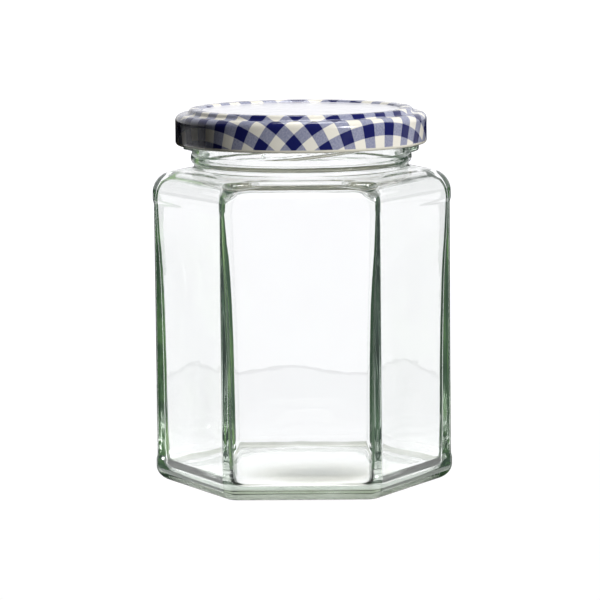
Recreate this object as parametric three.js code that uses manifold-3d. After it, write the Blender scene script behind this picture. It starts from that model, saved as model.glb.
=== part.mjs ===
// Hexagonal preserve jar, empty, shut with a gingham-printed twist-off lid.
// Millimetres, +Z up. The origin is the centre of the base on the surface it stands on.
// Two flat sides face -Y and +Y, and two upright corners lie on the X axis.

import * as THREE from 'three';
import { mergeVertices } from 'three/addons/utils/BufferGeometryUtils.js';
import Module from 'manifold-3d';

const wasm = await Module();
wasm.setup();

// Glass body: a rounded hexagon, given by half its width across the flats and its corner radius
const PANEL_FLAT = 34.35;          // the long label panel of each side
const CORNER_ROUND = 3.1;
const BAND_STEP = 0.25;            // the heel band and shoulder band stand proud of the panel
const HEEL_ROUND = 4.0;
const HEEL_BAND_TOP = 5.7;
const STEP_HEIGHT = 1.6;           // the soft step between a band and the panel
const SHOULDER_BAND_LOW = 74.0;
const SHOULDER_START = 77.1;       // the upright sides end here
const SHOULDER_ROUND = 5.8;
const SHOULDER_ARC = 78;           // degrees turned before the top of the shoulder runs in to the neck
const SHOULDER_FLAT_INSET = 3.85;  // how far the arc draws in on a flat and on a corner
const SHOULDER_CORNER_INSET = 4.6;

// Base
const FOOT_FLAT_OUT = 30.5;        // the bearing band that the jar stands on
const FOOT_FLAT_IN = 27.4;
const PUSH_UP = 1.1;               // the middle of the base is pushed up, and level inside PUSH_UP_FLAT
const PUSH_UP_FLAT = 14.0;
const PUSH_UP_EDGE = 25.4;
const PUSH_UP_AT_EDGE = 0.77;

// Inside of the glass, from the floor's fillet up to the mouth: the wall thickens towards the foot
const FLOOR = 3.6;
const FLOOR_FLAT = 29.0;
const INSIDE = [
  { z: 5.6, flat: 30.8, round: 4.2 },
  { z: 12.0, flat: 31.0, round: 3.5 },
  { z: 30.0, flat: 31.2, round: 3.0 },
  { z: 39.0, flat: 31.4, round: 2.8 },
  { z: 50.0, flat: 31.8, round: 2.6 },
  { z: 59.0, flat: 32.25, round: 2.4 },
  { z: 68.0, flat: 32.6, round: 2.4 },
  { z: 77.0, flat: 32.6, round: 2.6 },
  { z: 79.4, flat: 31.6, round: 4.5 },
  { z: 80.9, flat: 29.6, round: 9.5 },
  { z: 81.7, flat: 27.6, round: 17.0 },
];

// Neck and finish
const SHOULDER_FOOT = 29.4;        // radius where the shoulder meets the neck fillet
const SHOULDER_FOOT_AT = 83.4;
const NECK = 28.3;
const NECK_AT = 84.3;
const NECK_FILLET_OUT = 0.3;       // halfway point of the fillet between shoulder and neck
const NECK_FILLET_DOWN = 0.5;
const MOUTH = 26.2;
const MOUTH_LOW = 82.9;            // below this the inside widens into the shoulder
const BEAD = 29.2;
const BEAD_MID = 86.4;
const BEAD_HALF = 1.45;
const BEAD_TURN = 60;              // degrees that the bead's outline turns each way from its middle
const THREAD_WALL = 28.8;
const RIM_TOP = 98.0;
const RIM_ROUND = 1.3;

// Four thread ridges, each a quarter turn on from the last, rising to the right seen from outside
const THREADS = 4;
const THREAD_RADIUS = 31.1;
const THREAD_START = -16.6;        // degrees from -Y towards +X
const THREAD_SPAN = 84;
const THREAD_LOW = 88.3;
const THREAD_RISE = 4.9 / 90;      // millimetres a degree
const THREAD_ROOT_HALF = 1.15;
const THREAD_FLANK_HALF = 0.86;    // halfway out, at THREAD_FLANK of the ridge's height
const THREAD_FLANK = 0.7;
const THREAD_CREST_HALF = 0.5;
const THREAD_TAPER = 12;           // degrees over which each end fades into the wall
const THREAD_END_BLUNT = 2;        // degrees of that fade which are cut off, so that the tip is not a line
const THREAD_END_SHARE = 0.4;      // width of the tip, as a share of the full ridge
const THREAD_BURIED = 0.9;         // how deep the ridge's root is sunk into the wall

// Lid, deep drawn from tinplate, with its sealing compound flowed into the outer channel
const LID_RADIUS = 33.2;
const LID_TOP = 99.5;
const LID_BOTTOM = 90.05;
const TIN = 0.3;
const PANEL_SUNK = 0.65;
const PANEL_EDGE = 25.6;
const CREST = [[26.8, 0.12], [27.6, 0], [28.7, 0], [29.3, 0.2], [30.0, 1.25]];   // radius, depth below the top
const LEDGE_IN = 30.0;
const LEDGE_SUNK = 1.35;
const LID_CORNER = 1.9;
const COMPOUND_UNDER = 98.35;
const COMPOUND_IN = 26.0;
const COMPOUND_OUT = 29.6;
const CURL = 0.8;                  // radius of the edge rolled inwards at the bottom of the skirt
const CURL_LIP = 0.5;              // how the rolled edge runs back in to the skirt above it
const LUG_REACH = 30.4;
const LUG_AFTER = 80;              // degrees on from the start of each thread
const LUG_CREST_HALF = 2.5;        // degrees
const LUG_ROOT_HALF = 7;

// Facets: the same directions run through every ring of the glass, closer together at the corners
const FLAT_STEPS = 6;
const CORNER_STEPS = 4;
const CORNER_FROM = 27.4;
const THREAD_STEPS = 18;
const LID_STEPS = 72;

const GLASS_LOOK = { color: 0xe6efe9, roughness: 0.04, metalness: 0 };
const PRINTED_TIN_LOOK = { color: 0x6d7196, roughness: 0.28, metalness: 0.1 };

const { degToRad, euclideanModulo, clamp, lerp, smoothstep } = THREE.MathUtils;
const SIXTH = 60;
const SHARPEST = 0.2;
const CORNER_RATIO = 1 / Math.cos(degToRad(SIXTH / 2));

// Distance from the axis to a rounded hexagon in a given direction, in degrees from the -Y flat.
// A corner radius equal to the flat distance makes it a circle.
function reachAt(flat, round, degrees) {
  const offFlat = Math.abs(euclideanModulo(degrees + SIXTH / 2, SIXTH) - SIXTH / 2);
  const turn = degToRad(offFlat);
  const halfSide = (flat - round) * Math.tan(degToRad(SIXTH / 2));
  if (turn < Math.atan2(halfSide, flat)) return flat / Math.cos(turn);
  const centre = (flat - round) * CORNER_RATIO;
  const offCorner = degToRad(SIXTH / 2 - offFlat);
  const across = centre * Math.sin(offCorner);
  return centre * Math.cos(offCorner) + Math.sqrt(Math.max(round * round - across * across, 0));
}

// The corner radius that gives a rounded hexagon the stated reach at its corners
function roundFor(flat, reach) {
  return clamp((flat * CORNER_RATIO - reach) / (CORNER_RATIO - 1), SHARPEST, flat);
}

function onRing(radius, degrees, z) {
  const turn = degToRad(degrees);
  return new THREE.Vector3(radius * Math.sin(turn), -radius * Math.cos(turn), z);
}

const hexDirections = [];
for (let side = 0; side < 6; side += 1) {
  for (let k = 0; k < FLAT_STEPS; k += 1) {
    hexDirections.push(side * SIXTH - CORNER_FROM + (2 * CORNER_FROM * k) / FLAT_STEPS);
  }
  for (let k = 0; k < CORNER_STEPS; k += 1) {
    hexDirections.push(side * SIXTH + CORNER_FROM + ((SIXTH - 2 * CORNER_FROM) * k) / CORNER_STEPS);
  }
}

const hexRing = (flat, round, z) => hexDirections.map((d) => onRing(reachAt(flat, round, d), d, z));
const roundRing = (radius, z) => hexRing(radius, radius, z);

// A closed skin through rings of equal length, with a point at each end
function skin(firstPoint, rings, lastPoint) {
  const count = rings[0].length;
  const points = [firstPoint, ...rings.flat(), lastPoint];
  const at = (ring, k) => 1 + ring * count + (k % count);
  const faces = [];
  for (let k = 0; k < count; k += 1) {
    faces.push(0, at(0, k + 1), at(0, k));
    faces.push(points.length - 1, at(rings.length - 1, k), at(rings.length - 1, k + 1));
    for (let ring = 0; ring + 1 < rings.length; ring += 1) {
      faces.push(at(ring, k), at(ring, k + 1), at(ring + 1, k + 1));
      faces.push(at(ring, k), at(ring + 1, k + 1), at(ring + 1, k));
    }
  }
  const geometry = new THREE.BufferGeometry().setFromPoints(points);
  geometry.setIndex(faces);
  return geometry;
}

function toSolid(geometry) {
  const merged = mergeVertices(geometry, 1e-5);
  const vertProperties = new Float32Array(merged.attributes.position.array);
  const triVerts = new Uint32Array(merged.index.array);
  return new wasm.Manifold(new wasm.Mesh({ numProp: 3, vertProperties, triVerts }));
}

function toGeometry(solid) {
  const mesh = solid.getMesh();
  const geometry = new THREE.BufferGeometry();
  geometry.setAttribute('position', new THREE.BufferAttribute(mesh.vertProperties, 3));
  geometry.setIndex(new THREE.BufferAttribute(mesh.triVerts, 1));
  geometry.computeVertexNormals();
  return geometry;
}

// Evenly spaced angles of a quarter turn or less, in radians, both ends included
function arc(fromDegrees, toDegrees, steps) {
  const list = [];
  for (let k = 0; k <= steps; k += 1) {
    list.push(degToRad(fromDegrees + ((toDegrees - fromDegrees) * k) / steps));
  }
  return list;
}

// Outside of the glass, from the foot up to the neck
function bodyRings() {
  const band = PANEL_FLAT + BAND_STEP;
  const rings = [
    hexRing(PUSH_UP_FLAT, CORNER_ROUND, PUSH_UP),
    hexRing(PUSH_UP_EDGE, CORNER_ROUND, PUSH_UP_AT_EDGE),
    hexRing(FOOT_FLAT_IN, CORNER_ROUND, 0),
    hexRing(FOOT_FLAT_OUT, CORNER_ROUND, 0),
  ];
  for (const t of arc(0, 90, 4).slice(1)) {
    const flat = band - HEEL_ROUND * (1 - Math.sin(t));
    rings.push(hexRing(flat, CORNER_ROUND, HEEL_ROUND * (1 - Math.cos(t))));
  }
  rings.push(hexRing(band, CORNER_ROUND, HEEL_BAND_TOP));
  rings.push(hexRing(PANEL_FLAT, CORNER_ROUND, HEEL_BAND_TOP + STEP_HEIGHT));
  rings.push(hexRing(PANEL_FLAT, CORNER_ROUND, SHOULDER_BAND_LOW));
  rings.push(hexRing(band, CORNER_ROUND, SHOULDER_BAND_LOW + STEP_HEIGHT));
  return rings;
}

// The rounded shoulder, then its top running in to the neck as the hexagon turns into a circle
function shoulderRings() {
  const flat = PANEL_FLAT + BAND_STEP;
  const reach = (flat - CORNER_ROUND) * CORNER_RATIO + CORNER_ROUND;
  const fullTurn = 1 - Math.cos(degToRad(SHOULDER_ARC));
  const ringAt = (f, c, z) => hexRing(f, roundFor(f, c), z);
  const rings = [];
  for (const t of arc(0, SHOULDER_ARC, 5)) {
    const drawn = (1 - Math.cos(t)) / fullTurn;
    const z = SHOULDER_START + SHOULDER_ROUND * Math.sin(t);
    rings.push(ringAt(flat - SHOULDER_FLAT_INSET * drawn, reach - SHOULDER_CORNER_INSET * drawn, z));
  }
  const topFlat = flat - SHOULDER_FLAT_INSET;
  const topReach = reach - SHOULDER_CORNER_INSET;
  const topZ = SHOULDER_START + SHOULDER_ROUND * Math.sin(degToRad(SHOULDER_ARC));
  for (const u of [0.5, 1]) {
    rings.push(ringAt(lerp(topFlat, SHOULDER_FOOT, u), lerp(topReach, SHOULDER_FOOT, u),
      lerp(topZ, SHOULDER_FOOT_AT, u)));
  }
  return rings;
}

// Neck, transfer bead, thread wall and the rounded rim
function finishRings() {
  const rings = [roundRing(NECK + NECK_FILLET_OUT, NECK_AT - NECK_FILLET_DOWN), roundRing(NECK, NECK_AT)];
  const endTurn = Math.cos(degToRad(BEAD_TURN));
  for (const t of arc(-BEAD_TURN, BEAD_TURN, 4)) {
    const low = Math.sin(t) < 0 ? NECK : THREAD_WALL;
    const bulge = (Math.cos(t) - endTurn) / (1 - endTurn);
    rings.push(roundRing(low + (BEAD - low) * bulge, BEAD_MID + BEAD_HALF * Math.sin(t)));
  }
  for (const t of arc(0, 90, 3)) {
    rings.push(roundRing(THREAD_WALL - RIM_ROUND * (1 - Math.cos(t)),
      RIM_TOP - RIM_ROUND * (1 - Math.sin(t))));
  }
  for (const t of arc(90, 0, 3)) {
    rings.push(roundRing(MOUTH + RIM_ROUND * (1 - Math.cos(t)), RIM_TOP - RIM_ROUND * (1 - Math.sin(t))));
  }
  return rings;
}

// Inside of the glass, from the mouth down to the floor
function insideRings() {
  const ringAt = ({ z, flat, round }) => hexRing(flat, Math.min(round, flat), z);
  const rings = [roundRing(MOUTH, MOUTH_LOW), ...[...INSIDE].reverse().map(ringAt)];
  const { z: filletTop, flat: filletFlat, round } = INSIDE[0];
  for (const t of arc(0, 90, 3).slice(1)) {
    const flat = filletFlat - (filletFlat - FLOOR_FLAT) * (1 - Math.cos(t));
    rings.push(ringAt({ z: filletTop - (filletTop - FLOOR) * Math.sin(t), flat, round }));
  }
  return rings;
}

// One thread ridge: a rounded trapezium swept up the neck, its two ends fading into the wall
function threadRidge(index) {
  const sections = [];
  const start = THREAD_START + (360 / THREADS) * index;
  const root = THREAD_WALL - THREAD_BURIED;
  const flankRadius = THREAD_WALL + (THREAD_RADIUS - THREAD_WALL) * THREAD_FLANK;
  for (let k = 0; k <= THREAD_STEPS; k += 1) {
    const along = (THREAD_SPAN * k) / THREAD_STEPS;
    const fade = smoothstep(Math.min(along, THREAD_SPAN - along), -THREAD_END_BLUNT, THREAD_TAPER);
    const z = THREAD_LOW + THREAD_RISE * along;
    const width = lerp(THREAD_END_SHARE, 1, fade);
    const flank = lerp(root, flankRadius, fade);
    const crest = lerp(root, THREAD_RADIUS, fade);
    const corners = [
      [root, -THREAD_ROOT_HALF], [flank, -THREAD_FLANK_HALF], [crest, -THREAD_CREST_HALF],
      [crest, THREAD_CREST_HALF], [flank, THREAD_FLANK_HALF], [root, THREAD_ROOT_HALF],
    ];
    sections.push(corners.map(([radius, dz]) => onRing(radius, start + along, z + width * dz)));
  }
  const centreOf = (section) => section.reduce((sum, p) => sum.add(p), new THREE.Vector3())
    .divideScalar(section.length);
  return skin(centreOf(sections[0]), sections, centreOf(sections.at(-1)));
}

// The two ridge ends and the ring order decide which way a skin faces: turn it out if it faces in
function facingOut(geometry) {
  const position = geometry.attributes.position;
  const index = geometry.index.array;
  const [a, b, c] = [new THREE.Vector3(), new THREE.Vector3(), new THREE.Vector3()];
  let sixVolumes = 0;
  for (let k = 0; k < index.length; k += 3) {
    a.fromBufferAttribute(position, index[k]);
    b.fromBufferAttribute(position, index[k + 1]);
    c.fromBufferAttribute(position, index[k + 2]);
    sixVolumes += a.dot(b.cross(c));
  }
  if (sixVolumes < 0) {
    for (let k = 0; k < index.length; k += 3) [index[k], index[k + 1]] = [index[k + 1], index[k]];
  }
  return geometry;
}

function makeJar() {
  const rings = [...bodyRings(), ...shoulderRings(), ...finishRings(), ...insideRings()];
  const foot = new THREE.Vector3(0, 0, PUSH_UP);
  const floor = new THREE.Vector3(0, 0, FLOOR);
  let glass = toSolid(facingOut(skin(foot, rings, floor)));
  for (let index = 0; index < THREADS; index += 1) {
    glass = glass.add(toSolid(facingOut(threadRidge(index))));
  }
  return toGeometry(glass);
}

// Lid outline as radius and height, from the middle of the panel out and down to the curl's inside
function lidOutside() {
  const ledge = LID_TOP - LEDGE_SUNK;
  const outline = [[PANEL_EDGE, LID_TOP - PANEL_SUNK]];
  for (const [radius, depth] of CREST) outline.push([radius, LID_TOP - depth]);
  for (const t of arc(0, 90, 4)) {
    outline.push([LID_RADIUS - LID_CORNER * (1 - Math.sin(t)), ledge - LID_CORNER * (1 - Math.cos(t))]);
  }
  const curlMid = LID_BOTTOM + CURL;
  for (const t of arc(0, 180, 6)) {
    outline.push([LID_RADIUS - CURL + CURL * Math.cos(t), curlMid - CURL * Math.sin(t)]);
  }
  return outline;
}

function lidInside() {
  const ledge = LID_TOP - LEDGE_SUNK;
  const wall = LID_RADIUS - TIN;
  const bend = LID_CORNER - TIN;
  const curlTop = LID_BOTTOM + 2 * CURL;
  const outline = [[wall - CURL_LIP, curlTop], [wall, curlTop + CURL_LIP]];
  for (const t of arc(90, 0, 3)) {
    outline.push([wall - bend * (1 - Math.sin(t)), ledge - TIN - bend * (1 - Math.cos(t))]);
  }
  outline.push([LEDGE_IN + TIN, ledge - TIN], [COMPOUND_OUT, COMPOUND_UNDER], [COMPOUND_IN, COMPOUND_UNDER]);
  outline.push([PANEL_EDGE - TIN, LID_TOP - PANEL_SUNK - TIN]);
  return outline;
}

// 1 at the middle of a lug and 0 beyond its sides
function lugAt(degrees) {
  const pitch = 360 / THREADS;
  const middle = THREAD_START + LUG_AFTER;
  const off = Math.abs(euclideanModulo(degrees - middle + pitch / 2, pitch) - pitch / 2);
  return 1 - smoothstep(off, LUG_CREST_HALF, LUG_ROOT_HALF);
}

function makeLid() {
  const curlInside = LID_RADIUS - 2 * CURL;
  const lugTop = LID_BOTTOM + 2 * CURL;
  const directions = [];
  for (let k = 0; k < LID_STEPS; k += 1) directions.push((360 * k) / LID_STEPS);
  const ring = ([radius, z]) => directions.map((d) => {
    const isCurl = z < lugTop && radius < LID_RADIUS - CURL;
    const drawnIn = isCurl ? (LID_RADIUS - CURL - radius) / CURL : 0;
    return onRing(radius - (curlInside - LUG_REACH) * lugAt(d) * drawnIn, d, z);
  });
  const rings = [...lidOutside(), ...lidInside()].map(ring);
  const top = new THREE.Vector3(0, 0, LID_TOP - PANEL_SUNK);
  const under = new THREE.Vector3(0, 0, LID_TOP - PANEL_SUNK - TIN);
  return toGeometry(toSolid(facingOut(skin(top, rings, under))));
}

function named(name, geometry, look) {
  const mesh = new THREE.Mesh(geometry, new THREE.MeshStandardMaterial(look));
  mesh.name = name;
  return mesh;
}

const jar = new THREE.Group();
jar.add(named('jar', makeJar(), GLASS_LOOK));
jar.add(named('lid', makeLid(), PRINTED_TIN_LOOK));

export default jar;
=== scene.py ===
"""Looks for the hexagonal preserve jar: clear pressed glass, a gingham-printed twist-off lid, the
studio and the camera. Shapes are worked out in millimetres, in the same frame as the solids, and
written to meshes in metres."""

import math

import bpy
import numpy as np
from mathutils import Matrix, Vector


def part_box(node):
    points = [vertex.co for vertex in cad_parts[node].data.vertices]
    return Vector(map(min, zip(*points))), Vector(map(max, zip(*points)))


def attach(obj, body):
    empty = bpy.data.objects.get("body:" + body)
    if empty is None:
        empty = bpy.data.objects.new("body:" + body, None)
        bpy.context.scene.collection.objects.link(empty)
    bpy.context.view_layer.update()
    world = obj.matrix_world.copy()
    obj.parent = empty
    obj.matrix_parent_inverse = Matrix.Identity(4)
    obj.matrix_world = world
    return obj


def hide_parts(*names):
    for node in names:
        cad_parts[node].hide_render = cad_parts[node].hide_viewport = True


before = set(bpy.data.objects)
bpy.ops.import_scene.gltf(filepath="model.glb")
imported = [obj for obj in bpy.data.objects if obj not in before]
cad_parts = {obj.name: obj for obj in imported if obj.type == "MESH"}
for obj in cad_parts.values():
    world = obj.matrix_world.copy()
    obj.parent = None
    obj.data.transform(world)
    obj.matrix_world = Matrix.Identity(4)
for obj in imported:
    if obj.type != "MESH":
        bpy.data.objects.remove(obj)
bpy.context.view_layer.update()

MM = 0.001
SIXTH = math.radians(60)
CORNER_RATIO = 1 / math.cos(SIXTH / 2)

# Sizes that the solids give
jar_high = np.array(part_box("jar")[1]) / MM
lid_low, lid_high = (np.array(corner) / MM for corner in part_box("lid"))
BAND_FLAT = jar_high[1]            # half the width across the flats, at the heel and shoulder bands
BAND_REACH = jar_high[0]
RIM_TOP = jar_high[2]
LID_RADIUS = lid_high[0]
LID_TOP = lid_high[2]
LID_BOTTOM = lid_low[2]

# Glass body
BAND_STEP = 0.25
PANEL_FLAT = BAND_FLAT - BAND_STEP
CORNER_ROUND = 3.1
HEEL_ROUND = 4.0
HEEL_BAND_TOP = 5.7
STEP_HEIGHT = 1.6
SHOULDER_BAND_LOW = 74.0
SHOULDER_START = 77.1
SHOULDER_ROUND = 5.8
SHOULDER_ARC = math.radians(78)
SHOULDER_FLAT_INSET = 3.85
SHOULDER_CORNER_INSET = 4.6

# Base, outside and inside
FOOT_FLAT_OUT = 30.5
FOOT_FLAT_IN = 27.4
PUSH_UP_EDGE = 25.4
PUSH_UP = 1.1
FLOOR = 3.6
FLOOR_FLAT = 29.0

# Inside of the glass, as height, half width across the flats and corner radius: the walls grow thicker
# towards the foot
INSIDE_BODY = [(5.6, 30.8, 4.2), (12.0, 31.0, 3.5), (20.0, 31.1, 3.2), (30.0, 31.2, 3.0),
               (39.0, 31.4, 2.8), (50.0, 31.8, 2.6), (59.0, 32.25, 2.4), (68.0, 32.6, 2.4),
               (77.0, 32.6, 2.6)]
INSIDE_SHOULDER = [(79.4, 31.6, 4.5), (80.9, 29.6, 9.5), (81.7, 27.6, 17.0)]
# The blown inside is fuller in some corners than in others, going round from the front left corner
CORNER_FILL = (1.0, 0.75, 1.0, 0.80, 0.80, 1.0)
FILL_FROM, FILL_OVER = 80.0, 5.0
# The middle of each wall grows thicker towards the base, and the inside is narrower across the left and
# right corners than a regular hexagon, except at the top
WALL_SWELL = 0.215
SWELL_FROM, SWELL_OVER = 46.0, 26.0
NARROWED = 0.024
NARROWED_FROM, NARROWED_OVER = 72.0, 18.0
NARROWED_PAST, NARROWED_WITHIN = 14.0, 22.0

# Neck and finish
SHOULDER_FOOT = 29.4
SHOULDER_FOOT_AT = 83.4
NECK = 28.3
NECK_AT = 84.3
MOUTH = 26.2
MOUTH_LOW = 82.9
BEAD = 29.2
BEAD_MID = 86.4
BEAD_HALF = 1.45
BEAD_CUT = 0.26                    # the share of the bead's round section that lies inside the wall
THREAD_WALL = 28.8
RIM_ROUND = 1.3
THREADS = 4
THREAD_RADIUS = 31.1
THREAD_START = math.radians(-16.6)
THREAD_SPAN = math.radians(84)
THREAD_LOW = 88.3
THREAD_RISE = 4.9 / math.radians(90)
THREAD_ROOT_HALF = 1.15
THREAD_CREST_HALF = 0.5
THREAD_TAPER = math.radians(12)

# Lid
TIN = 0.3
PANEL_SUNK = 0.65
PANEL_EDGE = 25.6
CREST_IN = 27.2
CREST_OUT = 29.0
LEDGE_IN = 30.0
LEDGE_SUNK = 1.35
LID_CORNER = 1.9
COMPOUND_UNDER = 98.35
COMPOUND_IN = 26.0
COMPOUND_OUT = 29.6
CURL = 0.8
LUG_REACH = 30.4
LUG_AFTER = math.radians(80)
LUG_HALF = math.radians(5)

# Gingham print, laid out on the flat sheet before it was drawn: one repeat is a dark and a light stripe
GINGHAM_REPEAT = 7.2
GINGHAM_TURN = math.radians(40.4)
LIGHT_STRIPE_ACROSS = -0.180       # where the middle of a light stripe lies, in repeats
LIGHT_STRIPE_ALONG = 0.477
SKIRT_STRETCH = 1.07
PRINT_EDGE = 26.0                  # the print stops here, round the bare white middle panel

# Camera, worked out from the outlines of the jar in the photograph
CAMERA_DISTANCE = 921.5            # across the floor from the jar's axis
CAMERA_HEIGHT = 167.6
CAMERA_AZIMUTH = math.radians(0.90)
CAMERA_HEADING = math.radians(0.944)
CAMERA_TILT = math.radians(7.385)
CAMERA_ROLL = math.radians(-0.566)
CAMERA_LENS = 209.7
SENSOR = 36.0


def hex_reach(flat, corner, turn):
    """Distance from the axis to a rounded hexagon; turn is measured from the -Y flat, in radians.
    The corner radius is one number, or a value for each direction."""
    off_flat = np.abs((turn + SIXTH / 2) % SIXTH - SIXTH / 2)
    half_side = (flat - corner) * np.tan(SIXTH / 2)
    centre = (flat - corner) * CORNER_RATIO
    off_corner = SIXTH / 2 - off_flat
    across = centre * np.sin(off_corner)
    round_part = centre * np.cos(off_corner) + np.sqrt(np.maximum(corner ** 2 - across ** 2, 0))
    return np.where(off_flat < np.arctan2(half_side, flat), flat / np.cos(off_flat), round_part)


def round_for(flat, reach):
    """The corner radius that gives a rounded hexagon the stated reach at its corners."""
    return np.clip((flat * CORNER_RATIO - reach) / (CORNER_RATIO - 1), 0.2, flat)


def smooth(t):
    t = np.clip(t, 0, 1)
    return t * t * (3 - 2 * t)


def arc(start, end, steps):
    """Angles from start to end in degrees, as radians, both ends included."""
    return np.radians(np.linspace(start, end, steps + 1))


def through(points, count):
    """A smooth curve through the points, as a Catmull-Rom spline spaced by the chords."""
    points = np.array(points, float)
    chords = np.linalg.norm(np.diff(points, axis=0), axis=1)
    knots = np.concatenate([[0], np.cumsum(np.sqrt(chords))])
    slopes = np.gradient(points, knots, axis=0)
    curve = []
    for at in np.linspace(0, knots[-1], count):
        k = min(np.searchsorted(knots, at, side="right") - 1, len(knots) - 2)
        width = knots[k + 1] - knots[k]
        t = (at - knots[k]) / width
        curve.append(
            (2 * t ** 3 - 3 * t ** 2 + 1) * points[k] + (t ** 3 - 2 * t ** 2 + t) * width * slopes[k]
            + (3 * t ** 2 - 2 * t ** 3) * points[k + 1] + (t ** 3 - t ** 2) * width * slopes[k + 1])
    return curve


def skin_mesh(name, rings, first, last):
    """A closed mesh through rings of equal length, with a point at each end. Sizes in millimetres."""
    rings = np.array(rings, float)
    ring_count, count = rings.shape[:2]
    points = np.vstack([[first], rings.reshape(-1, 3), [last]]) * MM
    start = 1 + np.arange(ring_count)[:, None] * count
    here = start + np.arange(count)[None, :]
    beside = start + (np.arange(count)[None, :] + 1) % count
    quads = np.stack([here[:-1], beside[:-1], beside[1:], here[1:]], -1).reshape(-1, 4)
    faces = [(0, int(b), int(a)) for a, b in zip(here[0], beside[0])]
    faces += [tuple(int(v) for v in quad) for quad in quads]
    faces += [(len(points) - 1, int(a), int(b)) for a, b in zip(here[-1], beside[-1])]
    mesh = bpy.data.meshes.new(name)
    mesh.from_pydata([tuple(p) for p in points], [], faces)
    mesh.validate()
    mesh.shade_smooth()
    piece = bpy.data.objects.new(name, mesh)
    bpy.context.scene.collection.objects.link(piece)
    return piece


# Glass

FLAT_STEPS = 26
CORNER_STEPS = 14
CORNER_FROM = math.radians(26.6)


def glass_directions():
    turns = []
    for side in range(6):
        flat_part = np.linspace(-CORNER_FROM, CORNER_FROM, FLAT_STEPS, endpoint=False)
        corner_part = np.linspace(CORNER_FROM, SIXTH - CORNER_FROM, CORNER_STEPS, endpoint=False)
        turns.append(side * SIXTH + np.concatenate([flat_part, corner_part]))
    return np.concatenate(turns)


TURNS = glass_directions()


def outline_ring(reach, z):
    z = np.broadcast_to(z, TURNS.shape)
    return np.stack([reach * np.sin(TURNS), -reach * np.cos(TURNS), z], -1)


def hex_ring(flat, corner, z, swell=0.0):
    return outline_ring(hex_reach(flat, corner, TURNS) + swell, z)


def round_ring(radius, z):
    return outline_ring(np.full(TURNS.shape, float(radius)), z)


WAVES = np.random.default_rng(7)
WAVE_COUNT = 14
SHORTEST_WAVE = 34
wave_rise = WAVES.uniform(-1, 1, WAVE_COUNT) * 2 * math.pi / SHORTEST_WAVE
wave_round = WAVES.integers(2, 9, WAVE_COUNT)
wave_phase = WAVES.uniform(0, 2 * math.pi, WAVE_COUNT)
wave_size = WAVES.uniform(0.4, 1.0, WAVE_COUNT)
INSIDE_WAVE = 0.035                # how uneven the blown inside is, in millimetres
OUTSIDE_WAVE = 0.012
WAVES_FROM, WAVES_OVER = 81.0, 12.0
BAND_CALM = 5.0                    # the outside waves fade this far from the bands
OUTSIDE_SHIFT = 40                 # the outside waves are those of the inside, from this far up


def waves(z, size):
    """The gentle unevenness of blown glass, the same on every run."""
    total = np.zeros(TURNS.shape)
    for rise, turns_round, phase, height in zip(wave_rise, wave_round, wave_phase, wave_size):
        total += height * np.sin(rise * z + turns_round * TURNS + phase)
    return size * total / math.sqrt(WAVE_COUNT)


def body_rings():
    rings = [hex_ring(f, CORNER_ROUND * min(1, f / 12), PUSH_UP) for f in np.linspace(3, 20, 8)]
    for t in np.linspace(0, 1, 9):
        flat = PUSH_UP_EDGE - 3 + (FOOT_FLAT_IN - PUSH_UP_EDGE + 3) * t
        rings.append(hex_ring(flat, CORNER_ROUND, PUSH_UP * (1 - smooth(t))))
    for flat in np.linspace(FOOT_FLAT_IN, FOOT_FLAT_OUT, 6)[1:]:
        rings.append(hex_ring(flat, CORNER_ROUND, 0))
    for t in arc(6, 90, 14):
        flat = BAND_FLAT - HEEL_ROUND * (1 - math.sin(t))
        rings.append(hex_ring(flat, CORNER_ROUND, HEEL_ROUND * (1 - math.cos(t))))
    for t in np.linspace(0, 1, 9):
        z = HEEL_BAND_TOP + STEP_HEIGHT * t
        rings.append(hex_ring(BAND_FLAT - BAND_STEP * smooth(t), CORNER_ROUND, z))
    for z in np.linspace(HEEL_BAND_TOP + STEP_HEIGHT, SHOULDER_BAND_LOW, 44)[1:-1]:
        fade = smooth((z - HEEL_BAND_TOP - STEP_HEIGHT) / BAND_CALM)
        fade = fade * smooth((SHOULDER_BAND_LOW - z) / BAND_CALM)
        dip = abs(waves(z + OUTSIDE_SHIFT, OUTSIDE_WAVE)) * fade
        rings.append(hex_ring(PANEL_FLAT, CORNER_ROUND, z, -dip))
    for t in np.linspace(0, 1, 9):
        z = SHOULDER_BAND_LOW + STEP_HEIGHT * t
        rings.append(hex_ring(PANEL_FLAT + BAND_STEP * smooth(t), CORNER_ROUND, z))
    return rings


def shoulder_rings():
    full_turn = 1 - math.cos(SHOULDER_ARC)
    rings = []
    for t in np.linspace(0, SHOULDER_ARC, 18):
        drawn = (1 - math.cos(t)) / full_turn
        flat = BAND_FLAT - SHOULDER_FLAT_INSET * drawn
        reach = BAND_REACH - SHOULDER_CORNER_INSET * drawn
        z = SHOULDER_START + SHOULDER_ROUND * math.sin(t)
        rings.append(hex_ring(flat, round_for(flat, reach), z))
    top = SHOULDER_START + SHOULDER_ROUND * math.sin(SHOULDER_ARC)
    top_flat = BAND_FLAT - SHOULDER_FLAT_INSET
    top_reach = BAND_REACH - SHOULDER_CORNER_INSET
    for u in np.linspace(0, 1, 9)[1:]:
        flat = top_flat + (SHOULDER_FOOT - top_flat) * u
        reach = top_reach + (SHOULDER_FOOT - top_reach) * u
        rings.append(hex_ring(flat, round_for(flat, reach), top + (SHOULDER_FOOT_AT - top) * u))
    return rings


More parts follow.
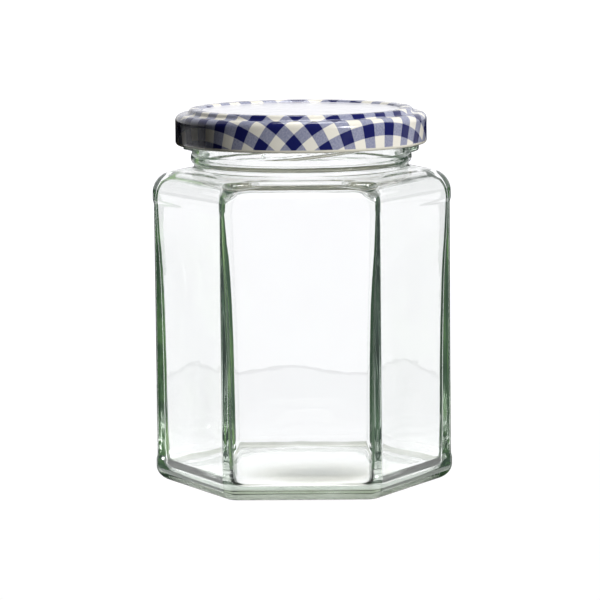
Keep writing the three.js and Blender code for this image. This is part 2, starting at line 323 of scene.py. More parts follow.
def thread_height(z):
    """How far the four thread ridges stand out of the wall at this height, all the way round."""
    total = np.zeros(TURNS.shape)
    for index in range(THREADS):
        along = (TURNS - THREAD_START - index * 2 * math.pi / THREADS) % (2 * math.pi)
        off = np.abs(z - THREAD_LOW - THREAD_RISE * along)
        fade = smooth((np.minimum(along, THREAD_SPAN - along) + math.radians(2)) / THREAD_TAPER)
        slope = (THREAD_ROOT_HALF - off) / (THREAD_ROOT_HALF - THREAD_CREST_HALF)
        total = np.maximum(total, smooth(slope) * fade)
    return (THREAD_RADIUS - THREAD_WALL) * total


def finish_rings():
    rings = []
    for t in arc(0, 80, 8):
        rings.append(round_ring(NECK + (SHOULDER_FOOT - NECK) * (1 - math.sin(t)),
                                SHOULDER_FOOT_AT + (NECK_AT - SHOULDER_FOOT_AT) * (1 - math.cos(t))))
    for t in arc(-75, 75, 18):
        low = NECK if t < 0 else THREAD_WALL
        bulge = max(0.0, (math.cos(t) - BEAD_CUT) / (1 - BEAD_CUT))
        rings.append(round_ring(low + (BEAD - low) * bulge, BEAD_MID + BEAD_HALF * math.sin(t)))
    bead_top = BEAD_MID + BEAD_HALF
    for z in np.linspace(bead_top, RIM_TOP - RIM_ROUND, 44):
        rings.append(outline_ring(THREAD_WALL + thread_height(z), z))
    for t in arc(0, 90, 8)[1:]:
        rings.append(round_ring(THREAD_WALL - RIM_ROUND * (1 - math.cos(t)),
                                RIM_TOP - RIM_ROUND * (1 - math.sin(t))))
    for t in arc(90, 0, 8):
        rings.append(round_ring(MOUTH + RIM_ROUND * (1 - math.cos(t)),
                                RIM_TOP - RIM_ROUND * (1 - math.sin(t))))
    return rings


def fill_at_corners(corner, flat, z):
    """The inside corner radius in every direction, with each corner's own fullness."""
    index = np.floor((TURNS + SIXTH) / SIXTH).astype(int) % 6
    fill = 1 + (np.array(CORNER_FILL)[index] - 1) * smooth((FILL_FROM - z) / FILL_OVER)
    return np.minimum(corner * fill, flat)


def wall_swell(z):
    off_flat = np.abs((TURNS + SIXTH / 2) % SIXTH - SIXTH / 2)
    return -WALL_SWELL * smooth((SWELL_FROM - z) / SWELL_OVER) * np.cos(off_flat * 3) ** 2


def narrowed(ring):
    """The ring with its left and right corners drawn in, by the share that its height calls for."""
    share = NARROWED * smooth((NARROWED_FROM - ring[:, 2]) / NARROWED_OVER)
    share = share * smooth((np.abs(ring[:, 0]) - NARROWED_PAST) / NARROWED_WITHIN)
    return ring * np.stack([1 - share, np.ones(len(ring)), np.ones(len(ring))], -1)


def inside_rings():
    rings = [round_ring(MOUTH, z) for z in np.linspace(RIM_TOP - RIM_ROUND - 1, MOUTH_LOW + 1, 6)]
    downward = [(MOUTH_LOW, MOUTH, MOUTH), *reversed(INSIDE_SHOULDER), *reversed(INSIDE_BODY)]
    for z, flat, corner in through(downward, 150):
        swell = waves(z, INSIDE_WAVE) * smooth((WAVES_FROM - z) / WAVES_OVER) + wall_swell(z)
        rings.append(narrowed(hex_ring(flat, fill_at_corners(corner, flat, z), z, swell)))
    low_z, low_flat, low_corner = INSIDE_BODY[0]
    fillet = low_flat - FLOOR_FLAT
    for t in arc(0, 90, 12)[1:]:
        flat = low_flat - fillet * (1 - math.cos(t))
        z = low_z - (low_z - FLOOR) * math.sin(t)
        swell = (waves(z, INSIDE_WAVE) + wall_swell(z)) * math.cos(t)
        rings.append(narrowed(hex_ring(flat, fill_at_corners(low_corner, flat, z), z, swell)))
    for share in np.linspace(0.92, 0.08, 12):
        flat = FLOOR_FLAT * share
        rings.append(narrowed(hex_ring(flat, fill_at_corners(low_corner * share, flat, FLOOR), FLOOR)))
    return rings


def make_glass():
    rings = [*body_rings(), *shoulder_rings(), *finish_rings(), *inside_rings()]
    return skin_mesh("glass_jar", rings, (0, 0, PUSH_UP), (0, 0, FLOOR))


# Lid

LID_COLUMNS = 288
CURL_STEPS = 16
PANEL_LEVEL = LID_TOP - PANEL_SUNK
LEDGE_LEVEL = LID_TOP - LEDGE_SUNK


def lid_outside():
    """Outline of the lid from its middle out and down round the curl, as radius and height."""
    crest = [(PANEL_EDGE, PANEL_LEVEL), (PANEL_EDGE + 0.5, PANEL_LEVEL + 0.1),
             (CREST_IN - 0.5, LID_TOP - 0.15), (CREST_IN + 0.5, LID_TOP),
             (CREST_OUT - 0.3, LID_TOP), (CREST_OUT + 0.3, LID_TOP - 0.22),
             (LEDGE_IN - 0.2, LEDGE_LEVEL + 0.25), (LEDGE_IN + 0.3, LEDGE_LEVEL),
             (LID_RADIUS - LID_CORNER, LEDGE_LEVEL)]
    outline = [(r, PANEL_LEVEL) for r in np.linspace(2, PANEL_EDGE - 0.4, 8)]
    outline += [(r, min(z, LID_TOP)) for r, z in through(crest, 40)]
    for t in arc(0, 90, 12)[1:]:
        outline.append((LID_RADIUS - LID_CORNER * (1 - math.sin(t)),
                        LEDGE_LEVEL - LID_CORNER * (1 - math.cos(t))))
    curl_mid = LID_BOTTOM + CURL
    skirt_top = LEDGE_LEVEL - LID_CORNER
    outline += [(LID_RADIUS, z) for z in np.linspace(skirt_top, curl_mid, 12)[1:-1]]
    for t in arc(0, 180, CURL_STEPS):
        outline.append((LID_RADIUS - CURL + CURL * math.cos(t), curl_mid - CURL * math.sin(t)))
    return outline


def lid_inside():
    """Outline of the lid's inside from the end of the curl up, and in under the panel."""
    wall = LID_RADIUS - TIN
    bend = LID_CORNER - TIN
    curl_top = LID_BOTTOM + 2 * CURL
    outline = [(wall - 0.9, curl_top - 0.1), (wall - 0.4, curl_top), (wall, curl_top + 0.5)]
    for t in arc(90, 0, 6):
        outline.append((wall - bend * (1 - math.sin(t)), LEDGE_LEVEL - TIN - bend * (1 - math.cos(t))))
    outline += [(LEDGE_IN + 0.3, LEDGE_LEVEL - TIN),
                (COMPOUND_OUT, COMPOUND_UNDER), (COMPOUND_IN, COMPOUND_UNDER),
                (PANEL_EDGE - 0.3, PANEL_LEVEL - TIN), (12.0, PANEL_LEVEL - TIN)]
    return outline


def lug_share(turns):
    """1 in the middle of each lug, and 0 between the lugs."""
    pitch = 2 * math.pi / THREADS
    off = np.abs((turns - THREAD_START - LUG_AFTER + pitch / 2) % pitch - pitch / 2)
    return 1 - smooth((off - LUG_HALF * 0.5) / (LUG_HALF * 0.9))


def sheet_lengths(outline):
    """How far along the flat sheet each point of the outside lay before the lid was drawn."""
    outline = np.array(outline)
    steps = np.linalg.norm(np.diff(outline, axis=0, prepend=[[0, outline[0][1]]]), axis=1)
    on_skirt = outline[:, 1] < LEDGE_LEVEL - LID_CORNER / 2
    return np.cumsum(np.where(on_skirt, steps * SKIRT_STRETCH, steps))


LID_SLOTS = ["print", "lacquer", "curl"]


def make_lid():
    """The lid, and how far along the flat sheet its curl begins."""
    turns = np.arange(LID_COLUMNS) * 2 * math.pi / LID_COLUMNS
    outside, inside = lid_outside(), lid_inside()
    lugs = lug_share(turns)
    rings = []
    for radius, z in outside + inside:
        on_curl = z < LID_BOTTOM + 2 * CURL and radius < LID_RADIUS - CURL
        drawn_in = (LID_RADIUS - CURL - radius) / CURL if on_curl else 0
        reach = radius - (LID_RADIUS - 2 * CURL - LUG_REACH) * lugs * drawn_in
        level = np.full(turns.shape, z)
        rings.append(np.stack([reach * np.sin(turns), -reach * np.cos(turns), level], -1))
    lid = skin_mesh("twist_off_lid", rings, (0, 0, PANEL_LEVEL), (0, 0, PANEL_LEVEL - TIN))
    outside_lengths = sheet_lengths(outside)
    lengths = np.concatenate([outside_lengths, np.zeros(len(inside))])
    sheet = np.zeros((len(rings), LID_COLUMNS, 3))
    sheet[..., 0] = lengths[:, None] * np.sin(turns - GINGHAM_TURN)
    sheet[..., 1] = lengths[:, None] * np.cos(turns - GINGHAM_TURN)
    values = np.vstack([[0, 0, 0], sheet.reshape(-1, 3), [0, 0, 0]]) * MM
    attribute = lid.data.attributes.new("sheet", "FLOAT_VECTOR", "POINT")
    attribute.data.foreach_set("vector", values.astype(np.float32).ravel())
    inside_from = 1 + (len(outside) - 1) * LID_COLUMNS
    under_curl_from = 1 + (len(outside) - 1 - CURL_STEPS // 2) * LID_COLUMNS
    for polygon in lid.data.polygons:
        lowest = min(polygon.vertices)
        if lowest >= inside_from or polygon.vertices[0] == len(values) - 1:
            polygon.material_index = LID_SLOTS.index("lacquer")
        elif lowest >= under_curl_from:
            polygon.material_index = LID_SLOTS.index("curl")
    return lid, outside_lengths[-1 - CURL_STEPS]


# Materials


def material(name):
    made = bpy.data.materials.new(name)
    made.use_nodes = True
    nodes = made.node_tree.nodes
    return made, nodes, made.node_tree.links, nodes["Principled BSDF"]


def math_node(nodes, links, operation, first, second=None):
    node = nodes.new("ShaderNodeMath")
    node.operation = operation
    for socket, value in zip(node.inputs, (first, second)):
        if value is None:
            continue
        if isinstance(value, (int, float)):
            socket.default_value = value
        else:
            links.new(value, socket)
    return node.outputs[0]


def vector_math(nodes, links, operation, first, second=None):
    node = nodes.new("ShaderNodeVectorMath")
    node.operation = operation
    links.new(first, node.inputs[0])
    if second is not None:
        node.inputs[1].default_value = second
    return node.outputs["Value" if operation in ("LENGTH", "DISTANCE") else "Vector"]


def object_place(nodes):
    return nodes.new("ShaderNodeTexCoord").outputs["Object"]


def split(nodes, links, vector):
    """The three measures of a vector, by the names X, Y and Z."""
    node = nodes.new("ShaderNodeSeparateXYZ")
    links.new(vector, node.inputs["Vector"])
    return node.outputs


def noise(nodes, links, scale, detail, vector=None):
    node = nodes.new("ShaderNodeTexNoise")
    node.inputs["Scale"].default_value = scale
    node.inputs["Detail"].default_value = detail
    if vector is None:
        vector = object_place(nodes)
    links.new(vector, node.inputs["Vector"])
    return node.outputs["Fac"]


def bumps(nodes, links, surface, scale, strength, rise):
    """Small, soft bumps all over the surface; the rise is in millimetres."""
    node = nodes.new("ShaderNodeBump")
    node.inputs["Strength"].default_value = strength
    node.inputs["Distance"].default_value = rise * MM
    links.new(noise(nodes, links, scale, detail=2), node.inputs["Height"])
    links.new(node.outputs["Normal"], surface.inputs["Normal"])


def map_range(nodes, links, value, low, high, to_low, to_high, smooth_step=False):
    node = nodes.new("ShaderNodeMapRange")
    node.interpolation_type = "SMOOTHSTEP" if smooth_step else "LINEAR"
    for name, number in zip(("From Min", "From Max", "To Min", "To Max"), (low, high, to_low, to_high)):
        node.inputs[name].default_value = number
    links.new(value, node.inputs["Value"])
    return node.outputs["Result"]


def mix(nodes, links, share, first, second):
    node = nodes.new("ShaderNodeMix")
    node.data_type = "RGBA"
    links.new(share, node.inputs["Factor"])
    for socket, value in ((node.inputs["A"], first), (node.inputs["B"], second)):
        if isinstance(value, tuple):
            socket.default_value = (*value, 1)
        else:
            links.new(value, socket)
    return node.outputs["Result"]


def from_srgb(red, green, blue):
    values = np.array([red, green, blue]) / 255
    linear = np.where(values <= 0.04045, values / 12.92, ((values + 0.055) / 1.055) ** 2.4)
    return tuple(float(v) for v in linear)


GLASS_IOR = 1.52
HAZE = 0.035                       # the most that the surface is blurred, in patches
STIPPLE = 0.38                     # the underside is stippled, up to this height and this far out
STIPPLE_TOP = 1.25
STIPPLE_REACH = 31.0
HEEL_PAINTED_SHADE = (0.32, 0.34, 0.275)    # painted shade: the thick heel is drawn darker and greener than the walls
HEEL_SHADE_TOP = 3.2
PAINTED_WALL_GLOW = (0.0075, 0.0100, 0.0090)    # painted glow: the glass gives off faint light, standing for light that runs along inside the walls and comes out
GREEN_OF_GLASS = (0.56, 0.80, 0.55)
GREEN_DENSITY = 6.0


def glass_material():
    made, nodes, links, surface = material("clear_glass")
    surface.inputs["Transmission Weight"].default_value = 1
    surface.inputs["IOR"].default_value = GLASS_IOR
    patches = noise(nodes, links, scale=60, detail=3)
    haze = map_range(nodes, links, patches, 0.45, 0.8, 0.0, HAZE)
    place = object_place(nodes)
    height = split(nodes, links, place)["Z"]
    level = vector_math(nodes, links, "MULTIPLY", place, (1, 1, 0))
    outward = vector_math(nodes, links, "LENGTH", level)
    low = map_range(nodes, links, height, STIPPLE_TOP * MM, (STIPPLE_TOP + 0.4) * MM, STIPPLE, 0.0)
    inner = map_range(nodes, links, outward,
                      STIPPLE_REACH * MM, (STIPPLE_REACH + 0.5) * MM, 1, 0)
    stippled = math_node(nodes, links, "MULTIPLY", low, inner)
    links.new(math_node(nodes, links, "MAXIMUM", haze, stippled), surface.inputs["Roughness"])
    # Painted shade in the heel: below its top and outside the stippled underside, the glass is drawn
    # darker and greener, in uneven patches
    low = map_range(nodes, links, height, HEEL_SHADE_TOP * MM, (HEEL_SHADE_TOP + 0.5) * MM, 1, 0)
    outer = math_node(nodes, links, "SUBTRACT", 1.0, inner)
    patches = noise(nodes, links, scale=90, detail=3)
    uneven = map_range(nodes, links, patches, 0.3, 0.7, 0.7, 1.0)
    heel_shade = math_node(nodes, links, "MULTIPLY", low, outer)
    heel_shade = math_node(nodes, links, "MULTIPLY", heel_shade, uneven)
    links.new(mix(nodes, links, heel_shade, (1.0, 1.0, 1.0), HEEL_PAINTED_SHADE), surface.inputs["Base Color"])
    # Painted glow: the glass gives off a faint light of its own, in patches
    patches = noise(nodes, links, scale=140, detail=4)
    glow_patches = map_range(nodes, links, patches, 0.35, 0.75, 0.15, 1.0)
    links.new(mix(nodes, links, glow_patches, (0.0, 0.0, 0.0), PAINTED_WALL_GLOW), surface.inputs["Emission Color"])
    surface.inputs["Emission Strength"].default_value = 1.0
    bumps(nodes, links, surface, scale=110, strength=0.25, rise=0.12)
    absorb = nodes.new("ShaderNodeVolumeAbsorption")
    absorb.inputs["Color"].default_value = (*GREEN_OF_GLASS, 1)
    absorb.inputs["Density"].default_value = GREEN_DENSITY
    links.new(absorb.outputs["Volume"], nodes["Material Output"].inputs["Volume"])
    return made


NAVY = from_srgb(26, 30, 88)
CREAM = from_srgb(232, 228, 216)
HALF_TONES = from_srgb(132, 135, 160), from_srgb(154, 157, 176)
PANEL_WHITE = from_srgb(240, 240, 246)
CURL_CREAM = from_srgb(225, 221, 206)
LACQUERS = from_srgb(206, 200, 178), from_srgb(226, 221, 204)
BARE_CURLS = from_srgb(216, 211, 195), from_srgb(232, 228, 214)


def stripe(nodes, links, coordinate, light_at):
    """1 on a dark stripe and 0 on a light one."""
    turned = math_node(nodes, links, "MULTIPLY_ADD", coordinate, 1 / (GINGHAM_REPEAT * MM))
    turned.node.inputs[2].default_value = -light_at
    swing = math_node(nodes, links, "PINGPONG", turned, 0.5)
    return map_range(nodes, links, swing, 0.235, 0.265, 0, 1, True)


def print_material(curl_from):
    made, nodes, links, surface = material("gingham_tinplate")
    attribute = nodes.new("ShaderNodeAttribute")
    attribute.attribute_name = "sheet"
    sheet = attribute.outputs["Vector"]
    parts = split(nodes, links, sheet)
    across = stripe(nodes, links, parts["X"], LIGHT_STRIPE_ACROSS)
    along = stripe(nodes, links, parts["Y"], LIGHT_STRIPE_ALONG)
    both = math_node(nodes, links, "MULTIPLY", across, along)
    either = math_node(nodes, links, "MAXIMUM", across, along)
    weave = noise(nodes, links, scale=1900, detail=2, vector=sheet)
    half_tone = mix(nodes, links, map_range(nodes, links, weave, 0.35, 0.65, 0, 1), *HALF_TONES)
    colour = mix(nodes, links, either, CREAM, half_tone)
    colour = mix(nodes, links, both, colour, NAVY)
    distance = vector_math(nodes, links, "LENGTH", sheet)
    on_panel = map_range(nodes, links, distance, (PRINT_EDGE - 0.1) * MM, (PRINT_EDGE + 0.1) * MM, 1, 0)
    colour = mix(nodes, links, on_panel, colour, PANEL_WHITE)
    on_curl = map_range(nodes, links, distance, (curl_from - 0.1) * MM, (curl_from + 0.1) * MM, 0, 1)
    colour = mix(nodes, links, on_curl, colour, CURL_CREAM)
    links.new(colour, surface.inputs["Base Color"])
    patches = noise(nodes, links, scale=400, detail=4)
    roughness = map_range(nodes, links, patches, 0.3, 0.7, 0.14, 0.22)
    links.new(roughness, surface.inputs["Roughness"])
    surface.inputs["Specular IOR Level"].default_value = 0.3
    bumps(nodes, links, surface, scale=300, strength=0.1, rise=0.02)
    return made


def lacquer_material():
    made, nodes, links, surface = material("inside_lacquer")
    patches = noise(nodes, links, scale=260, detail=3)
    links.new(mix(nodes, links, patches, *LACQUERS), surface.inputs["Base Color"])
    surface.inputs["Roughness"].default_value = 0.35
    surface.inputs["Coat Weight"].default_value = 0.3
    return made


def curl_material():
    made, nodes, links, surface = material("bare_curl")
    patches = noise(nodes, links, scale=500, detail=3)
    links.new(mix(nodes, links, patches, *BARE_CURLS), surface.inputs["Base Color"])
    surface.inputs["Roughness"].default_value = 0.3
    surface.inputs["Coat Weight"].default_value = 0.4
    return made


# Studio

# White light comes through the glass from behind. The screen, cards, papers and strips are hidden from
# the camera: only the glass and the lid's gloss show them.
FLOOR_RADIUS = 0.174
SCREEN_DROP = 0.55                 # a pale screen hangs from the floor's far edge, this far down
SCREEN_TURN = 40                   # and reaches this many degrees to each side
HORIZON_LINE = 0.0006              # its upper edge shows as a thin grey line
HORIZON_GREY = 0.90
SCREEN_DEEP = 0.090                # it is brighter this far down, seen only past the base's rear edge
SCREEN_DEEP_STRENGTH = 1.55
SCREEN_STRENGTH = 1.10
BACKDROP = (0.980, 0.974, 1.0)     # faintly lavender, as the glass shows it
BACKDROP_STRENGTH = 1.16
PALE_FLOOR_STRENGTH = 1.02
# The floor under the foot shows through the base: it is shaded near the front, given as distance and
# brightness, and dark from just outside the two front sides of the base
FOOT_FLOOR_HALF = 0.050
FOOT_FLOOR_BACK = 0.030
FOOT_FLOOR_STRENGTH = 1.20
FOOT_FLOOR_GREY = 0.15
SHADE_SQUEEZE = (1.35, 1.6, 1.0)   # the shade is wider than deep
SHADE_MIDDLE = (0.0054, -0.016, 0.0)    # in squeezed measures, as the distances are
FOOT_SHADE = [(0.0, 0.06), (0.010, 0.16), (0.018, 0.50), (0.027, 0.88), (0.036, 1.0)]
SHADE_TONE = (0.90, 0.90, 0.62)
SIDE_SHADE_FROM, SIDE_SHADE_TO = 28.4, 29.6
SIDE_SHADE = 0.01


def stage_mesh(name, points, faces, made):
    mesh = bpy.data.meshes.new(name)
    mesh.from_pydata(points, [], faces)
    mesh.materials.append(made)
    obj = bpy.data.objects.new(name, mesh)
    bpy.context.scene.collection.objects.link(obj)
    return obj


def light_giver(name, grey=0.0):
    """A material without gloss, for a surface that gives off light and is otherwise as grey as said."""
    made, nodes, links, surface = material(name)
    surface.inputs["Base Color"].default_value = (grey, grey, grey, 1)
    surface.inputs["Specular IOR Level"].default_value = 0
    surface.inputs["Roughness"].default_value = 1
    return made, nodes, links, surface


def glow(name, colour, strength):
    made, _, _, surface = light_giver(name)
    surface.inputs["Emission Color"].default_value = (*colour, 1)
    surface.inputs["Emission Strength"].default_value = strength
    return made


def mottled_glow(name, dark, light, scale, low, high):
    made, nodes, links, surface = light_giver(name)
    patches = noise(nodes, links, scale, detail=3)
    share = map_range(nodes, links, patches, low, high, 0, 1, True)
    links.new(mix(nodes, links, share, dark, light), surface.inputs["Emission Color"])
    surface.inputs["Emission Strength"].default_value = 1
    return made


def plain_floor_material():
    made, nodes, links, surface = light_giver("pale_floor")
    patches = noise(nodes, links, scale=40, detail=2)
    tone = mix(nodes, links, patches, (1.0, 1.0, 1.0), (0.99, 0.99, 1.0))
    links.new(tone, surface.inputs["Emission Color"])
    surface.inputs["Emission Strength"].default_value = PALE_FLOOR_STRENGTH
    return made


def foot_floor_material():
    """The floor under the foot, shaded towards the front of the jar."""
    made, nodes, links, surface = light_giver("shaded_floor", FOOT_FLOOR_GREY)
    place = object_place(nodes)
    squeezed = vector_math(nodes, links, "MULTIPLY", place, SHADE_SQUEEZE)
    off_middle = vector_math(nodes, links, "DISTANCE", squeezed, SHADE_MIDDLE)
    shade = nodes.new("ShaderNodeValToRGB")
    ramp = shade.color_ramp
    ramp.interpolation = "EASE"
    reach = FOOT_SHADE[-1][0]
    while len(ramp.elements) < len(FOOT_SHADE):
        ramp.elements.new(1.0)
    for element, (distance, bright) in zip(ramp.elements, FOOT_SHADE):
        element.position = distance / reach
        element.color = (bright, bright, bright, 1)
    links.new(math_node(nodes, links, "DIVIDE", off_middle, reach), shade.inputs["Fac"])
    tone = mix(nodes, links, shade.outputs["Color"], SHADE_TONE, BACKDROP)
    links.new(tone, surface.inputs["Emission Color"])
    parts = split(nodes, links, place)
    either_side = math_node(nodes, links, "ABSOLUTE", parts["X"])
    across = math_node(nodes, links, "MULTIPLY", either_side, math.sin(SIXTH))
    back = math_node(nodes, links, "MULTIPLY", parts["Y"], math.cos(SIXTH))
    outward = math_node(nodes, links, "SUBTRACT", across, back)
    sides = map_range(nodes, links, outward, SIDE_SHADE_FROM * MM, SIDE_SHADE_TO * MM,
                      1, SIDE_SHADE, True)
    shaded = math_node(nodes, links, "MULTIPLY", shade.outputs["Color"], sides)
    strength = math_node(nodes, links, "MULTIPLY", shaded, FOOT_FLOOR_STRENGTH)
    links.new(strength, surface.inputs["Emission Strength"])
    return made


def screen_material():
    """The pale backdrop below the horizon, with a thin grey line at its upper edge."""
    made, nodes, links, surface = light_giver("low_backdrop")
    surface.inputs["Emission Color"].default_value = (*BACKDROP, 1)
    height = split(nodes, links, object_place(nodes))["Z"]
    line = map_range(nodes, links, height, -2 * HORIZON_LINE, -HORIZON_LINE, 1.0, HORIZON_GREY, True)
    deep = map_range(nodes, links, height, -SCREEN_DEEP, -SCREEN_DEEP / 2,
                     SCREEN_DEEP_STRENGTH, SCREEN_STRENGTH, True)
    links.new(math_node(nodes, links, "MULTIPLY", line, deep), surface.inputs["Emission Strength"])
    return made


def make_floor():
    """The plain floor that the camera sees, and the shaded part of it that only the base shows."""
    count = 192
    rim = [(math.sin(2 * math.pi * k / count), math.cos(2 * math.pi * k / count)) for k in range(count)]
    points = [(FLOOR_RADIUS * x, FLOOR_RADIUS * y, 0) for x, y in rim]
    floor = stage_mesh("floor", points, [tuple(range(count))], plain_floor_material())
    floor.visible_diffuse = False
    floor.visible_glossy = False
    floor.visible_transmission = False
    side, front, back = FOOT_FLOOR_HALF, -FOOT_FLOOR_HALF, FOOT_FLOOR_BACK
    points = [(-side, front, 0), (side, front, 0), (side, back, 0), (-side, back, 0)]
    seen_by(stage_mesh("foot_floor", points, [(0, 1, 2, 3)], foot_floor_material()), transmission=True)


def bent_sheet(name, radius, start, end, steps, low, high, made):
    """An upright sheet behind the jar, bent round its axis from start to end in degrees."""
    turns = arc(start, end, steps)
    points = [(radius * math.sin(t), radius * math.cos(t), z) for z in (low, high) for t in turns]
    count = len(turns)
    faces = [(k, k + 1, k + 1 + count, k + count) for k in range(count - 1)]
    return stage_mesh(name, points, faces, made)


def make_screen(camera):
    screen = bent_sheet("low_backdrop", FLOOR_RADIUS, -SCREEN_TURN, SCREEN_TURN, 60, -SCREEN_DROP, 0,
                        screen_material())
    seen_by(screen, transmission=True)
    travel_with(camera, screen)


def make_world():
    world = bpy.data.worlds.new("studio")
    bpy.context.scene.world = world
    world.use_nodes = True
    background = world.node_tree.nodes["Background"]
    background.inputs["Color"].default_value = (*BACKDROP, 1)
    background.inputs["Strength"].default_value = BACKDROP_STRENGTH
    world.cycles_visibility.diffuse = False
    world.cycles_visibility.glossy = False


def area_light(name, place, aim, side, power):
    lamp = bpy.data.lights.new(name, "AREA")
    lamp.shape = "SQUARE"
    lamp.size = side
    lamp.energy = power
    obj = bpy.data.objects.new(name, lamp)
    bpy.context.scene.collection.objects.link(obj)
    obj.location = place
    obj.rotation_euler = (Vector(aim) - Vector(place)).to_track_quat("-Z", "Y").to_euler()
    return obj


def make_camera():
    data = bpy.data.cameras.new("camera")
    data.lens = CAMERA_LENS
    data.sensor_width = SENSOR
    data.clip_start = 0.01
    camera = bpy.data.objects.new("camera", data)
    bpy.context.scene.collection.objects.link(camera)
    place = Vector((math.sin(CAMERA_AZIMUTH) * CAMERA_DISTANCE,
                    -math.cos(CAMERA_AZIMUTH) * CAMERA_DISTANCE, CAMERA_HEIGHT)) * MM
    level = Vector((-math.sin(CAMERA_HEADING), math.cos(CAMERA_HEADING), 0))
    ahead = level * math.cos(CAMERA_TILT) - Vector((0, 0, math.sin(CAMERA_TILT)))
    right = Vector((math.cos(CAMERA_HEADING), math.sin(CAMERA_HEADING), 0))
    up = right.cross(ahead)
    turned_right = right * math.cos(CAMERA_ROLL) + up * math.sin(CAMERA_ROLL)
    turned_up = up * math.cos(CAMERA_ROLL) - right * math.sin(CAMERA_ROLL)
    axes = Matrix((turned_right, turned_up, -ahead)).transposed().to_4x4()
    camera.matrix_world = Matrix.Translation(place) @ axes
    bpy.context.scene.camera = camera
    return camera


def travel_with(camera, obj):
    obj.parent = camera
    obj.matrix_parent_inverse = camera.matrix_world.inverted()


def seen_by(obj, transmission=False, glossy=False):
    obj.visible_camera = False
    obj.visible_diffuse = False
    obj.visible_shadow = False
    obj.visible_transmission = transmission
    obj.visible_glossy = glossy


# Dark cards round the jar, which only its refractions see: they leave an opening behind the jar, that
# widens from OPENING_NEAR to OPENING_FAR on each side, as half its width and how far back
OPENING_NEAR = (0.043, 0.030)
OPENING_FAR = (0.072, 0.190)
CARD_FRONT = -0.160
CARD_NEAR_FOOT = -0.046
CARD_TOP = 0.150
CARD_OUT = 0.330
CARD_LOW = 0.0004
CARD_DROP = 0.55                   # at the opening they also hang down below the floor
CARD_LEAN = 1.25                   # and lean out by this much at the top
ROOF_HALF, ROOF_BACK = 0.20, 0.14
LEFT_GREENS = (0.050, 0.085, 0.058), (0.22, 0.40, 0.12)
RIGHT_GREENS = (0.022, 0.042, 0.026), (0.055, 0.110, 0.055)
GREY_GREEN = (0.05, 0.07, 0.055)


def make_cards(camera):
    near_x, near_y = OPENING_NEAR
    far_x, far_y = OPENING_FAR
    green = mottled_glow("green_card", *LEFT_GREENS, scale=45, low=0.46, high=0.72)
    dark = mottled_glow("dark_card", *RIGHT_GREENS, scale=30, low=0.4, high=0.7)
    cards = []
    for side, name, colour in ((-1, "left_card", green), (1, "right_card", dark)):
        edge = [(side * near_x, CARD_FRONT), (side * near_x, near_y), (side * far_x, far_y)]
        out = [(side * CARD_OUT, y) for _, y in edge]
        points = [(x, y, CARD_LOW) for x, y in edge + out]
        points += [(x * CARD_LEAN, y, CARD_TOP) for x, y in edge]
        points += [(x, y, -CARD_DROP) for x, y in edge]
        lying = [(0, 1, 4, 3), (1, 2, 5, 4)]
        hanging = [(9, 10, 1, 0), (10, 11, 2, 1)]
        leaning = [(6, 7, 1, 0), (7, 8, 2, 1)]
        cards.append(stage_mesh(name, points, lying + hanging + leaning, colour))
    dim = glow("grey_card", GREY_GREEN, 1.0)
    roof = [(-ROOF_HALF, CARD_FRONT, CARD_TOP), (ROOF_HALF, CARD_FRONT, CARD_TOP),
            (ROOF_HALF, ROOF_BACK, CARD_TOP), (-ROOF_HALF, ROOF_BACK, CARD_TOP)]
    cards.append(stage_mesh("roof_card", roof, [(0, 1, 2, 3)], dim))
    front = [(-near_x, CARD_NEAR_FOOT, CARD_LOW), (near_x, CARD_NEAR_FOOT, CARD_LOW),
             (near_x, CARD_FRONT, CARD_LOW), (-near_x, CARD_FRONT, CARD_LOW),
             (-CARD_OUT, CARD_FRONT, CARD_LOW), (CARD_OUT, CARD_FRONT, CARD_LOW),
             (CARD_OUT, CARD_FRONT, CARD_TOP), (-CARD_OUT, CARD_FRONT, CARD_TOP)]
    cards.append(stage_mesh("front_card", front, [(0, 1, 2, 3), (4, 5, 6, 7)], dim))
    for card in cards:
        seen_by(card, transmission=True)
        travel_with(camera, card)


# White papers round the back of the jar, for reflections only, as the angles from and to, the heights
# from and to and the brightness; beside the camera it stays dark
PAPER_RADIUS = 0.6
PAPER_WHITE = (0.985, 0.985, 1.0)
PAPERS = {"paper_behind": (-85, 85, 0.10, 0.90, 1.05),
          "paper_left": (-85, -46, -0.40, 0.040, 1.6),
          "paper_right": (46, 85, -0.40, 0.040, 1.6)}


def make_papers(camera):
    for name, (start, end, low, high, strength) in PAPERS.items():
        made = glow(name, PAPER_WHITE, strength)
        paper = bent_sheet(name, PAPER_RADIUS, start, end, 24, low, high, made)
        seen_by(paper, glossy=True)
        travel_with(camera, paper)


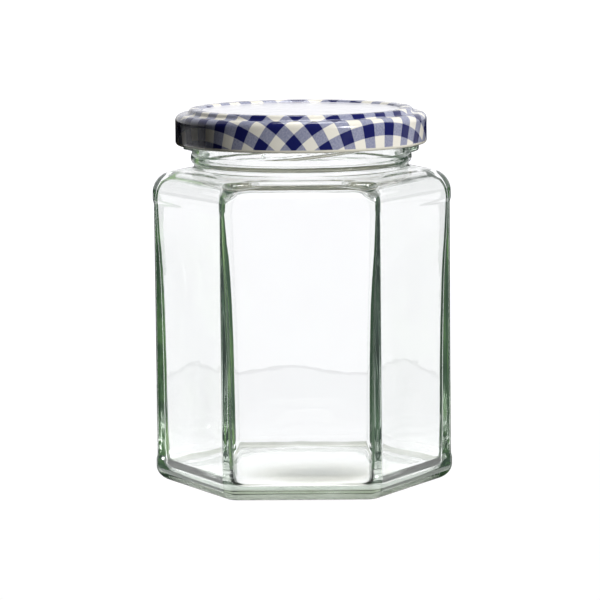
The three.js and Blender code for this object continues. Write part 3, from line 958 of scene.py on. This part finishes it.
# Dark green strips close to the jar, mirrored in the outer edge of its left and right sides, where
# these look in to the corners
STRIP_FROM = 0.0362                # distance from the middle, across the view, at which they begin
STRIP_TO = 0.0410
STRIP_AWAY = 0.060
STRIP_LOW, STRIP_TOP = -0.002, 0.080
STRIPS = {"left_strip": (-1, (0.03, 0.10, 0.02), (0.35, 0.80, 0.20)),
          "right_strip": (1, (0.012, 0.03, 0.012), (0.05, 0.12, 0.04))}


def make_edge_strips(camera):
    eye = camera.matrix_world.translation
    for name, (side, dark, light) in STRIPS.items():
        facing = Vector((side * math.sin(SIXTH), -math.cos(SIXTH), 0))
        points = []
        for across, z in ((STRIP_FROM, STRIP_LOW), (STRIP_TO, STRIP_LOW),
                          (STRIP_TO, STRIP_TOP), (STRIP_FROM, STRIP_TOP)):
            on_side = (PANEL_FLAT * MM - across * math.sin(SIXTH)) / -math.cos(SIXTH)
            place = Vector((side * across, on_side, z))
            ray = (place - eye).normalized()
            ray -= 2 * ray.dot(facing) * facing
            points.append(tuple(place + ray * STRIP_AWAY))
        made = mottled_glow(name, dark, light, scale=120, low=0.4, high=0.7)
        strip = stage_mesh(name, points, [(0, 1, 2, 3)], made)
        seen_by(strip, glossy=True)
        travel_with(camera, strip)


# Square lamps: where each stands, the height that it aims at, its side and its power in watts
LAMPS = {"overhead": ((0.05, 0.16, 0.80), 0.100, 0.30, 3.9),
         "key": ((0.675, -0.724, 0.36), 0.095, 0.22, 11.0),
         "fill": ((-0.3, -1.0, 0.3), 0.095, 0.80, 0.25)}


def make_lamps(camera):
    for name, (place, aim, side, power) in LAMPS.items():
        lamp = area_light(name, place, (0, 0, aim), side, power)
        lamp.visible_glossy = name != "fill"
        lamp.visible_transmission = False
        travel_with(camera, lamp)


glass = make_glass()
glass.data.materials.append(glass_material())
glass.visible_shadow = False
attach(glass, "root")
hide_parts("jar")

lid, curl_from = make_lid()
for made in (print_material(curl_from), lacquer_material(), curl_material()):
    lid.data.materials.append(made)
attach(lid, "root")
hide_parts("lid")

camera = make_camera()
make_floor()
make_world()
bpy.context.view_layer.update()
make_cards(camera)
make_screen(camera)
make_papers(camera)
make_edge_strips(camera)
make_lamps(camera)

scene = bpy.context.scene
scene.view_settings.view_transform = "Standard"
scene.cycles.max_bounces = 24
scene.cycles.transmission_bounces = 24
scene.cycles.glossy_bounces = 12
